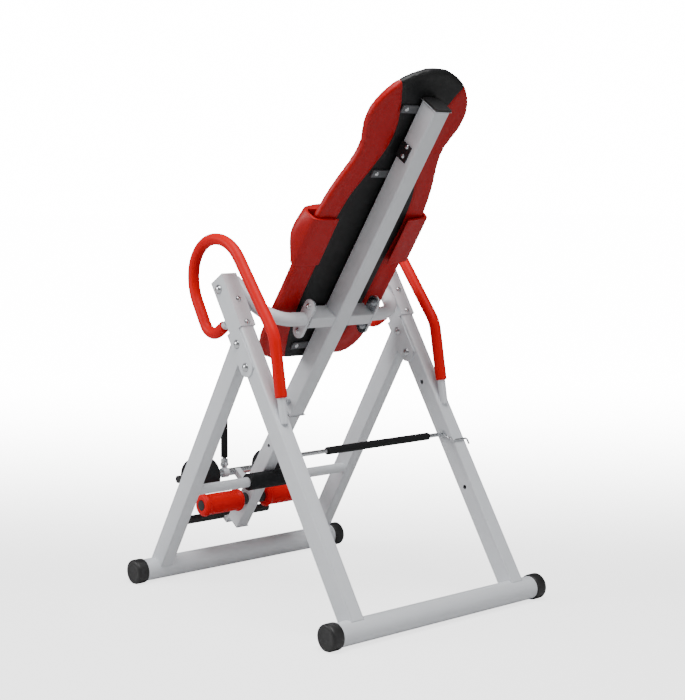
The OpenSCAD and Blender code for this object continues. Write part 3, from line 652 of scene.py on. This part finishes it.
def edge_distance(x, s, loop):
    """Distance of points to the outline loop, in millimetres."""
    pts = np.array(loop)
    a, b = pts, np.roll(pts, -1, axis=0)
    best = np.full(len(x), 1e9)
    p = np.stack([x, s], 1)
    for start, end in zip(a, b):
        d = end - start
        t = np.clip(((p - start) @ d) / (d @ d), 0, 1)
        best = np.minimum(best, np.linalg.norm(p - (start + t[:, None] * d), axis=1))
    return best


def inset_ring(loop, n, inset):
    """The outline at depth n, drawn in towards the pad's middle."""
    ring = []
    for x, s in loop:
        way = np.array([x, s]) - PAD_CENTRE
        way = way / np.linalg.norm(way)
        ring.append(on_table(x - way[0] * inset, n, s - way[1] * inset))
    return ring


def pad_body():
    """Foam block in its cover: flat on the board behind, crowned in front, edges swollen."""
    loop = pad_loop()
    shrunk = [tuple(np.array(p) - COVER_SLACK * (np.array(p) - PAD_CENTRE)
                    / np.linalg.norm(np.array(p) - PAD_CENTRE)) for p in loop]
    layers = [(PAD_BACK, 5), (PAD_BACK - 2, 1.5), (PAD_BACK - 6, 0), (PAD_BACK - 15, 0),
              (PAD_BACK - 19, 2), (PAD_BACK - 21, 6)]
    rings = [inset_ring(shrunk, n, inset) for n, inset in layers]
    raw = from_bmesh("pad_raw", loft(rings), MATERIALS["red_vinyl"])
    pad = voxelled(raw, "pad_even", 5.5, 3)
    co = vertex_array(pad.data)
    x, n, s = table_coords(co)
    near = edge_distance(x, s, loop)
    swell = (PAD_MID_THICK - PAD_EDGE_THICK) * smoothstep(near / 115)
    front = smoothstep((PAD_BACK - 7 - n) / 12)
    n = n - swell * front
    set_vertices(pad.data, row_coords(x, n, s))
    held = ((n > PAD_BACK - 3) & (near > 24)) | (near < 6)
    inflate(pad, 6.0, 5.0, held)
    co = vertex_array(pad.data)
    x, n, s = table_coords(co)
    near = edge_distance(x, s, loop)
    n = np.minimum(n, PAD_BACK + 0.3)
    dish = 1.2 * smoothstep(1 - abs(near - 30) / 22)
    n = np.where(n > PAD_BACK - 6, n - dish, n)
    set_vertices(pad.data, row_coords(x, n, s))
    fine = pad.modifiers.new("finer", "SUBSURF")
    fine.levels = fine.render_levels = 1
    return evaluated(pad, "pad_body", MATERIALS["red_vinyl"]), loop


def sew_groove(pad):
    """Pulls the cover in along both seams of the middle panel."""
    co = vertex_array(pad.data)
    x, n, s = table_coords(co)
    away = abs(x) - smooth_curve(BAND_OUTLINE, s)
    pull = 1.6 * np.exp(-(away / 2.6) ** 2) + 0.8 * np.exp(-(away / 8) ** 2)
    middle_n = PAD_BACK - 12
    n = n - np.sign(n - middle_n) * pull * smoothstep(abs(n - middle_n) / 8)
    set_vertices(pad.data, row_coords(x, n, s))


def band_cutter(part):
    """Closed wall that holds the middle panel or one side panel."""
    rows = np.arange(-190, 691, 8.0)
    half = smooth_curve(BAND_OUTLINE, rows)
    if part == "centre":
        loop = [(x, s) for x, s in zip(half, rows)] + [(-x, s) for x, s in zip(half[::-1], rows[::-1])]
    else:
        sx = 1 if part == "left" else -1
        loop = [(sx * x, s) for x, s in zip(half, rows)] + [(sx * 260, 690), (sx * 260, -190)]
    rings = [[on_table(x, n, s) for x, s in loop] for n in (-60, 160)]
    return from_bmesh("cutter_" + part, loft(rings), MATERIALS["red_vinyl"])


def cut_panel(pad, part, slot):
    cutter = band_cutter(part)
    copy = bpy.data.objects.new("panel", pad.data.copy())
    bpy.context.scene.collection.objects.link(copy)
    cut = copy.modifiers.new("cut", "BOOLEAN")
    cut.operation = "INTERSECT"
    cut.solver = "EXACT"
    cut.object = cutter
    piece = evaluated(copy, "backrest_cover_" + part, MATERIALS[slot], 55)
    bpy.data.objects.remove(cutter)
    return piece


def make_board(loop):
    """Plywood under the foam, well inside the cover, with its edges eased by a millimetre."""
    rings = [inset_ring(loop, n, inset) for n, inset in BOARD_LAYERS]
    board = from_bmesh("plywood_board", loft(rings), MATERIALS["plywood"])
    settle(board, "table", "plywood", "backrest_board")


def make_backrest():
    pad, loop = pad_body()
    make_board(loop)
    sew_groove(pad)
    surface = BVHTree.FromObject(pad, bpy.context.evaluated_depsgraph_get())
    for part, slot, node in (("centre", "black_vinyl", "backrest_centre"),
                             ("left", "red_vinyl", "backrest_side_left"),
                             ("right", "red_vinyl", "backrest_side_right")):
        piece = cut_panel(pad, part, slot)
        settle(piece, "table", slot, node)
    bpy.data.objects.remove(pad)
    return surface


# ---------- repeated small things, by geometry nodes ----------
def new_tree(name, inputs):
    """A geometry tree with named inputs: {name: (socket type, default)}."""
    tree = bpy.data.node_groups.new(name, "GeometryNodeTree")
    tree.interface.new_socket("Geometry", in_out="INPUT", socket_type="NodeSocketGeometry")
    for label, (kind, default) in inputs.items():
        socket = tree.interface.new_socket(label, in_out="INPUT", socket_type=kind)
        if default is not None:
            socket.default_value = default
    tree.interface.new_socket("Geometry", in_out="OUTPUT", socket_type="NodeSocketGeometry")
    group_in = add(tree, "NodeGroupInput")
    return tree, group_in


def finish_tree(tree, geometry, material):
    solid = add(tree, "GeometryNodeRealizeInstances", {"Geometry": geometry})
    painted = add(tree, "GeometryNodeSetMaterial", {"Geometry": solid.outputs["Geometry"]})
    painted.inputs["Material"].default_value = material
    add(tree, "NodeGroupOutput", {"Geometry": painted.outputs["Geometry"]})


def run_tree(holder, tree, values, name, material):
    """Runs a tree on the holder and keeps the result as a plain mesh."""
    modifier = holder.modifiers.new("maker", "NODES")
    modifier.node_group = tree
    for item in tree.interface.items_tree:
        if item.in_out == "INPUT" and item.name in values:
            modifier[item.identifier] = values[item.name]
    return evaluated(holder, name, material, 35)


def stitch_tree(material):
    """Short round stitches laid end to end along a seam curve."""
    tree, given = new_tree("seam_stitches", {
        "Stitch pitch": ("NodeSocketFloat", 5 * MM),
        "Stitch length": ("NodeSocketFloat", 3.6 * MM),
        "Thread radius": ("NodeSocketFloat", 0.5 * MM)})
    even = add(tree, "GeometryNodeResampleCurve", {"Curve": given.outputs["Geometry"],
                                                   "Length": given.outputs["Stitch pitch"]}, mode="LENGTH")
    body = add(tree, "GeometryNodeMeshUVSphere", {"Segments": 8, "Rings": 6, "Radius": 1.0})
    half = add(tree, "ShaderNodeMath", {0: given.outputs["Stitch length"], 1: 0.5}, operation="MULTIPLY")
    size = add(tree, "ShaderNodeCombineXYZ", {"X": given.outputs["Thread radius"],
                                              "Y": given.outputs["Thread radius"],
                                              "Z": half.outputs["Value"]})
    along = add(tree, "GeometryNodeInputTangent")
    aim = add(tree, "FunctionNodeAlignRotationToVector", {"Vector": along.outputs["Tangent"]}, axis="Z")
    laid = add(tree, "GeometryNodeInstanceOnPoints", {"Points": even.outputs["Curve"],
                                                      "Instance": body.outputs["Mesh"],
                                                      "Rotation": aim.outputs["Rotation"],
                                                      "Scale": size.outputs["Vector"]})
    finish_tree(tree, laid.outputs["Instances"], material)
    return tree


def seam_points(surface, sx, offset_mm, from_back):
    """Points along a seam, dropped on the pad's surface from behind or from the front."""
    points = []
    for s in np.arange(-140, 640, 4.0):
        x = sx * (float(smooth_curve(BAND_OUTLINE, s)) + offset_mm)
        if abs(x) > float(smooth_curve(PAD_OUTLINE, s)) - 9:
            continue
        start = on_table(x, 150 if from_back else -60, s)
        way = -BACK if from_back else BACK
        hit = surface.ray_cast(start, way)[0]
        if hit is not None:
            points.append(hit - way * 0.0002)
    return points


def poly_curve(name, strands):
    data = bpy.data.curves.new(name, "CURVE")
    data.dimensions = "3D"
    for points in strands:
        spline = data.splines.new("POLY")
        spline.points.add(len(points) - 1)
        for target, p in zip(spline.points, points):
            target.co = (*p, 1)
    holder = bpy.data.objects.new(name, data)
    bpy.context.scene.collection.objects.link(holder)
    return holder


def make_stitches(surface):
    strands = [seam_points(surface, sx, 3.5, back) for sx in (-1, 1) for back in (True, False)]
    holder = poly_curve("seam_lines", strands)
    piece = run_tree(holder, stitch_tree(MATERIALS["red_thread"]), {}, "backrest_seam_stitches",
                     MATERIALS["red_thread"])
    settle(piece, "table", "red_vinyl")


def bolt_tree(material):
    """Dome heads on washers, one at each point, standing along the point's own axis."""
    tree, given = new_tree("dome_bolts", {
        "Head radius": ("NodeSocketFloat", 8 * MM),
        "Head height": ("NodeSocketFloat", 5 * MM),
        "Washer radius": ("NodeSocketFloat", 10 * MM),
        "Washer height": ("NodeSocketFloat", 1.2 * MM)})
    washer = add(tree, "GeometryNodeMeshCylinder", {"Vertices": 40, "Radius": given.outputs["Washer radius"],
                                                    "Depth": given.outputs["Washer height"]})
    lift = add(tree, "ShaderNodeMath", {0: given.outputs["Washer height"], 1: 0.5}, operation="MULTIPLY")
    up_half = add(tree, "ShaderNodeCombineXYZ", {"Z": lift.outputs["Value"]})
    up_full = add(tree, "ShaderNodeCombineXYZ", {"Z": given.outputs["Washer height"]})
    ball = add(tree, "GeometryNodeMeshUVSphere", {"Segments": 40, "Rings": 20, "Radius": 1.0})
    size = add(tree, "ShaderNodeCombineXYZ", {"X": given.outputs["Head radius"],
                                              "Y": given.outputs["Head radius"],
                                              "Z": given.outputs["Head height"]})
    dome = add(tree, "GeometryNodeTransform", {"Geometry": ball.outputs["Mesh"],
                                               "Scale": size.outputs["Vector"],
                                               "Translation": up_full.outputs["Vector"]})
    seat = add(tree, "GeometryNodeTransform", {"Geometry": washer.outputs["Mesh"],
                                               "Translation": up_half.outputs["Vector"]})
    bolt = add(tree, "GeometryNodeJoinGeometry")
    tree.links.new(dome.outputs["Geometry"], bolt.inputs["Geometry"])
    tree.links.new(seat.outputs["Geometry"], bolt.inputs["Geometry"])
    axis = add(tree, "GeometryNodeInputNamedAttribute", {"Name": "bolt_axis"}, data_type="FLOAT_VECTOR")
    aim = add(tree, "FunctionNodeAlignRotationToVector", {"Vector": axis.outputs["Attribute"]}, axis="Z")
    laid = add(tree, "GeometryNodeInstanceOnPoints", {"Points": given.outputs["Geometry"],
                                                      "Instance": bolt.outputs["Geometry"],
                                                      "Rotation": aim.outputs["Rotation"]})
    finish_tree(tree, laid.outputs["Instances"], material)
    return tree


def point_holder(name, places):
    """A mesh of loose points, each with the axis its bolt stands along."""
    mesh = bpy.data.meshes.new(name)
    mesh.from_pydata([p for p, _ in places], [], [])
    axis = mesh.attributes.new("bolt_axis", "FLOAT_VECTOR", "POINT")
    axis.data.foreach_set("vector", [c for _, a in places for c in a])
    holder = bpy.data.objects.new(name, mesh)
    bpy.context.scene.collection.objects.link(holder)
    return holder


# ---------- lumbar wrap ----------
WRAP_LOW = 134
WRAP_HIGH = 262
FLAP_INNER = 101
WRAP_SIDE = 176


def pad_front(x):
    """How far behind the tilt axis the pad's front lies at x across its straight part."""
    near = 165 - abs(x)
    return PAD_BACK - PAD_EDGE_THICK - (PAD_MID_THICK - PAD_EDGE_THICK) * float(smoothstep(near / 115))


def wrap_side(v, lift):
    """Outer and inner points of one side of the wrap at height v, from the flap to the front."""
    out = 15 * math.sin(math.pi * min(1, 0.04 + 0.9 * v)) ** 0.9
    deep = 20 + 29 * float(smoothstep(v / 0.55))
    front = 92 - deep
    outer = [(FLAP_INNER, 96.5 + lift), (122, 97 + lift * 0.6), (145, 97 + lift * 0.2), (162, 97),
             (WRAP_SIDE - 1 + out * 0.1, 94), (WRAP_SIDE + out * 0.5, 92 - deep * 0.3),
             (WRAP_SIDE + out, 92 - deep * 0.6), (WRAP_SIDE - 4 + out * 0.9, front + 3),
             (WRAP_SIDE - 16 + out * 0.6, front - 3)]
    inner = [(FLAP_INNER + 0.5, 91 + lift), (122, 91 + lift * 0.6), (145, 91 + lift * 0.2), (160, 91),
             (168 + out * 0.1, 89), (169 + out * 0.5, 91 - deep * 0.3),
             (169 + out, 92 - deep * 0.55), (WRAP_SIDE - 12 + out * 0.8, front + 10),
             (WRAP_SIDE - 24 + out * 0.3, front + 11)]
    return outer, inner


def wrap_section(v):
    """Closed section of the wrap across the table at height v."""
    bulge = float(smoothstep(v / 0.5)) * (1 - 0.35 * float(smoothstep((v - 0.6) / 0.4)))
    left_out, left_in = wrap_side(v, 0)
    right_out, right_in = wrap_side(v, 9)
    spread = np.linspace(130, -130, 15)
    side_n = left_out[-1][1]
    crown = [(x, side_n - (6 + 20 * bulge) * (1 - (x / 160) ** 2)) for x in spread]
    hug = [(x, pad_front(x) - 1.5) for x in np.linspace(125, -125, 15)]
    outer = left_out + crown + [(-x, n) for x, n in right_out[::-1]]
    inner = left_in + hug + [(-x, n) for x, n in right_in[::-1]]
    return outer + inner[::-1]


def make_lumbar():
    rows = [0, 0.02, 0.08, 0.2, 0.35, 0.5, 0.65, 0.8, 0.92, 0.98, 1]
    rings = []
    for v in rows:
        rise = WRAP_LOW + (WRAP_HIGH - WRAP_LOW) * v
        rings.append([on_table(x, n, rise) for x, n in wrap_section(v)])
    bm = bmesh.new()
    grid = [[bm.verts.new(p) for p in ring] for ring in rings]
    size = len(grid[0])
    for a, b in zip(grid, grid[1:]):
        for k in range(size):
            m = (k + 1) % size
            bm.faces.new((a[k], a[m], b[m], b[k]))
    for ring, flip in ((grid[0], False), (grid[-1], True)):
        for k in range(size // 2 - 1):
            quad = (ring[k], ring[size - 1 - k], ring[size - 2 - k], ring[k + 1])
            bm.faces.new(quad if flip else quad[::-1])
    bmesh.ops.recalc_face_normals(bm, faces=bm.faces)
    raw = from_bmesh("wrap_raw", bm, MATERIALS["red_vinyl"])
    soft = raw.modifiers.new("soft", "SUBSURF")
    soft.levels = soft.render_levels = 2
    wrap = evaluated(raw, "wrap_even", MATERIALS["red_vinyl"])
    n = table_coords(vertex_array(wrap.data))[1]
    inflate(wrap, 3.0, 2.0, n > 88, 14)
    soft = wrap.modifiers.new("soft", "SUBSURF")
    soft.levels = soft.render_levels = 1
    wrap = evaluated(wrap, "lumbar_wrap", MATERIALS["red_vinyl"], 60)
    settle(wrap, "table", "red_vinyl", "lumbar_cushion", "lumbar_flap_left", "lumbar_flap_right")


# ---------- foam rollers and sleeves ----------
def foam_piece(name, profile, origin, slot, body, *nodes):
    piece = lathe(name, profile, origin, SIDE, MATERIALS[slot])
    settle(piece, body, slot, *nodes)


def heel_profile(length):
    """Moulded roller: a bead at each end, a slack waist and a recess round the axle."""
    half = [(5, 8.2), (5, 12.5), (0.8, 13.5), (0, 16), (0.6, 21), (2.2, 24.8), (5.2, 27.6), (8.5, 28.8),
            (11.8, 28), (14.6, 26.4), (18, 25.6), (30, 25.8), (45, 26)]
    return mirrored(half, length)


def ankle_profile(length):
    """Thick roller cut from foam: full round shoulders and a recess round the bar."""
    half = [(4, 9.8), (4, 13.5), (0.8, 14.5), (0, 18), (0.4, 30), (2, 36.5), (5, 41), (9, 43.9),
            (14, 44.9), (25, 45), (36, 45)]
    return mirrored(half, length)


def sleeve_profile(length, radius, bore):
    half = [(3, bore), (0.3, bore + 0.2), (0, bore + 1.0), (0, radius - 1.8), (0.5, radius - 0.6),
            (1.8, radius), (12, radius)]
    return mirrored(half, length)


def make_foam():
    for side in ("left", "right"):
        for kind, profile, slot, body in (("heel_roller_", heel_profile, "red_foam", "foot_slide"),
                                          ("ankle_roller_", ankle_profile, "black_foam", "ankle_holder")):
            node = kind + side
            low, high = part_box(node)
            at = middle(node)
            length = (high.x - low.x) / MM
            foam_piece(kind + "foam_" + side, profile(length), (low.x, at.y, at.z), slot, body, node)
    for node, radius, bore, body in (("angle_rod_foam", 9, 5, "rear_frame"),
                                     ("stop_sleeve", 20.9, 12.5, "front_frame")):
        low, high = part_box(node)
        at = middle(node)
        foam_piece("foam_" + node, sleeve_profile((high.x - low.x) / MM, radius, bore),
                   (low.x, at.y, at.z), "black_foam", body, node)
    low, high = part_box("lever_grip")
    at = middle("lever_grip")
    height = (high.z - low.z) / MM
    profile = [(0.4, 4.6), (0, 5.5), (0, 7.6), (0.7, 8.6), (2, 9), (height - 9, 9), (height - 5, 8.6),
               (height - 2, 7.2), (height - 0.4, 4.6), (height, 0)]
    piece = lathe("lever_foam_grip", profile, (at.x, at.y, low.z), (0, 0, 1), MATERIALS["black_foam"])
    settle(piece, "lever", "black_foam", "lever_grip")


# ---------- plastic caps ----------
CAP_PROFILE = [(0, 0), (0, 24), (0.5, 26.2), (1.8, 28.4), (4, 29.6), (7, 29.9), (20, 29.9), (25, 29.7),
               (28, 29.2), (29.6, 28.2), (30, 26.8)]


def make_caps():
    """Floor tube caps with a round nose, a dished face and a rounded shoulder near the tube."""
    for node, body in (("rear_end_caps", "rear_frame"), ("front_end_caps", "front_frame")):
        low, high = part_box(node)
        axis_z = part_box(node.replace("end_caps", "floor_tube"))
        at = (axis_z[0] + axis_z[1]) / 2
        parts = []
        for x, way in ((low.x, 1), (high.x, -1)):
            profile = [(0.9, 0), (0.9, 17), (0.2, 20)] + CAP_PROFILE[1:]
            cap = lathe("cap", profile, (x, at.y, at.z), (way, 0, 0), MATERIALS["black_plastic"], 72)
            parts.append(cap)
        piece = joined(parts, node.replace("_end_caps", "_floor_caps"))
        co = vertex_array(piece.data)
        co[:, 2] = np.maximum(co[:, 2], 0)
        set_vertices(piece.data, co)
        settle(piece, body, "black_plastic", node)


def joined(parts, name):
    """Several plain meshes as one."""
    bm = bmesh.new()
    for part in parts:
        bm.from_mesh(part.data)
    material = parts[0].data.materials[0]
    for part in parts:
        bpy.data.objects.remove(part)
    return from_bmesh(name, bm, material, 35)


# ---------- fasteners ----------
def shell_centres(node):
    """Middles and boxes of the separate solids in a CAD node."""
    bm = bmesh.new()
    bm.from_mesh(frame["nodes"][node].data)
    bmesh.ops.remove_doubles(bm, verts=bm.verts, dist=0.00002)
    bm.verts.ensure_lookup_table()
    seen, shells = set(), []
    for v in bm.verts:
        if v.index in seen:
            continue
        stack, found = [v], []
        seen.add(v.index)
        while stack:
            w = stack.pop()
            found.append(w.co.copy())
            for e in w.link_edges:
                o = e.other_vert(w)
                if o.index not in seen:
                    seen.add(o.index)
                    stack.append(o)
        co = np.array(found)
        shells.append((Vector(co.min(0)), Vector(co.max(0))))
    bm.free()
    return shells


def side_heads(node, outward_only=False):
    """Where bolts that run across the object show their heads: (point, axis) on each plate face."""
    places = []
    for low, high in shell_centres(node):
        at = (low + high) / 2
        if high.x - low.x < 0.02:
            continue
        outer = 1 if at.x > 0 else -1
        for way in ((outer,) if outward_only else (1, -1)):
            x = high.x if way > 0 else low.x
            places.append((Vector((x - way * 6.5 * MM, at.y, at.z)), Vector((way, 0, 0))))
    return places


def make_bolts():
    """Dome heads over washers on every plate; the CAD shanks stay inside."""
    tree = bolt_tree(MATERIALS["zinc_steel"])
    jobs = (("bracket_bolt_heads", "rear_frame", side_heads("bracket_bolts"), 8.5, 5.2, 10.5),
            ("pivot_bolt_heads", "rear_frame", side_heads("pivot_bolts", True), 9.0, 5.6, 11.0))
    for name, body, places, radius, height, washer in jobs:
        values = {"Head radius": radius * MM, "Head height": height * MM, "Washer radius": washer * MM}
        piece = run_tree(point_holder(name + "_points", places), tree, values, name,
                         MATERIALS["zinc_steel"])
        settle(piece, body, "zinc_steel")


# ---------- build ----------
# nodes whose finish differs from the rest of their slot; the straps' dark grey is painted shade
FINISH_OF = {"pad_straps": "strap_painted_shade", "side_bracket": "black_plastic"}
make_camera()
make_studio()
make_handles()
PAD_SURFACE = make_backrest()
make_stitches(PAD_SURFACE)
make_lumbar()
make_foam()
make_caps()
make_bolts()

for node, item in frame["nodes"].items():
    item.data.shade_smooth()
    item.data.set_sharp_from_angle(angle=math.radians(35))
    item.data.materials.clear()
    item.data.materials.append(MATERIALS[FINISH_OF.get(node, SLOT_OF[node])])

# the yoke's flange plates lie between these distances from the middle plane
FLANGE_FACES = (94.9, 99.2)
# corner radius of each drawn tube; edges shorter than the limit stay sharp
SHORTEST_ROUNDED_MM = 25
ROUNDED_TUBES = {"rear_leg_left": 4, "rear_leg_right": 4, "front_leg_left": 4, "front_leg_right": 4,
                 "main_boom": 4.5, "inner_boom": 3.5, "cross_stubs": 3}
for node, radius in ROUNDED_TUBES.items():
    tube = soften(node, radius, SHORTEST_ROUNDED_MM, 4)
    if node == "cross_stubs":
        coat_faces(tube, *FLANGE_FACES, "zinc_steel")
